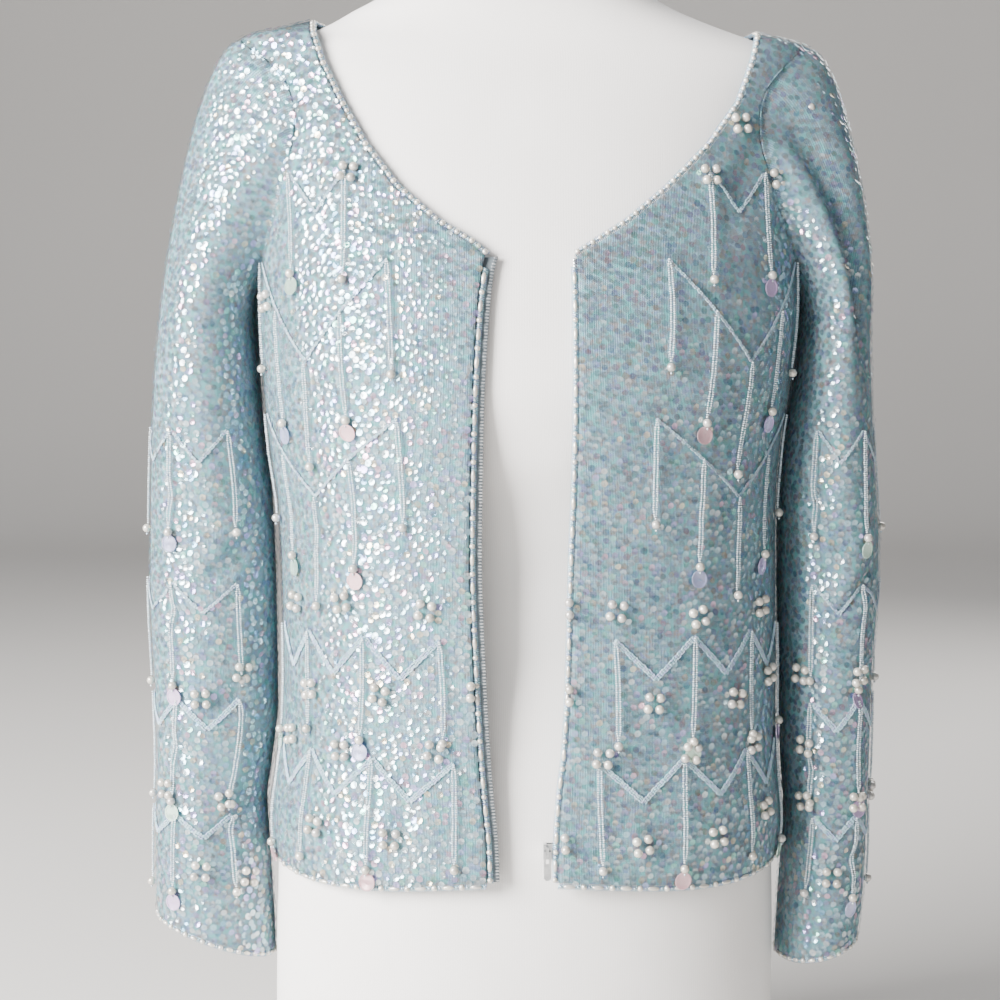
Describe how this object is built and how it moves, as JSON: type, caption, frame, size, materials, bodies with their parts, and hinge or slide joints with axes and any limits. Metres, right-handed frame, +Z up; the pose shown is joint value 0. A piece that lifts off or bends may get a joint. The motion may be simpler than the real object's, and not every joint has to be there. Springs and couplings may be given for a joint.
{
  "type": "sequin cardigan on dress form",
  "caption": "Open-front long-sleeved cardigan covered in sequins, with bead edging and hanging bead loops, worn by a limbless dress form.",
  "frame": {"origin": "centre of the dress form's flat foot", "axes": "+Z up, the fronts face -Y, the wearer's left is +X"},
  "size_m": [0.4783, 0.2415, 0.79],
  "materials": {
    "knit": "fine wool knit set all over with small clear iridescent sequins",
    "edging": "pearls and small clear beads",
    "fringe": "clear seed beads, pearls and paillettes",
    "tape": "woven zip tape with metal teeth",
    "metal": "bright metal",
    "jersey": "fine ribbed cotton jersey"
  },
  "bodies": {
    "cardigan": {"form_torso": "jersey", "back": "knit", "edging_back_hem": "edging", "edging_back_neck": "edging", "fringe_back_yoke": "fringe", "fringe_back_bust": "fringe", "fringe_back_waist": "fringe", "fringe_back_hip": "fringe", "fringe_back_hem": "fringe", "front_left": "knit", "edging_front_left": "edging", "fringe_front_left_yoke": "fringe", "fringe_front_left_bust": "fringe", "fringe_front_left_waist": "fringe", "fringe_front_left_hip": "fringe", "fringe_front_left_hem": "fringe", "zip_tape_left": "tape", "sleeve_left": "knit", "edging_cuff_left": "edging", "fringe_sleeve_left_upper": "fringe", "fringe_sleeve_left_elbow": "fringe", "fringe_sleeve_left_fore": "fringe", "fringe_sleeve_left_cuff": "fringe", "front_right": "knit", "edging_front_right": "edging", "fringe_front_right_yoke": "fringe", "fringe_front_right_bust": "fringe", "fringe_front_right_waist": "fringe", "fringe_front_right_hip": "fringe", "fringe_front_right_hem": "fringe", "zip_tape_right": "tape", "sleeve_right": "knit", "edging_cuff_right": "edging", "fringe_sleeve_right_upper": "fringe", "fringe_sleeve_right_elbow": "fringe", "fringe_sleeve_right_fore": "fringe", "fringe_sleeve_right_cuff": "fringe", "zip_slider": "metal"},
    "pull": {"zip_pull": "metal"}
  },
  "joints": [
    {"name": "pull_swing", "type": "hinge", "parent": "cardigan", "child": "pull", "pos_m": [0.0128, -0.11326, 0.203], "axis": [-1, 0, 0], "range_deg": [0, 150]}
  ]
}
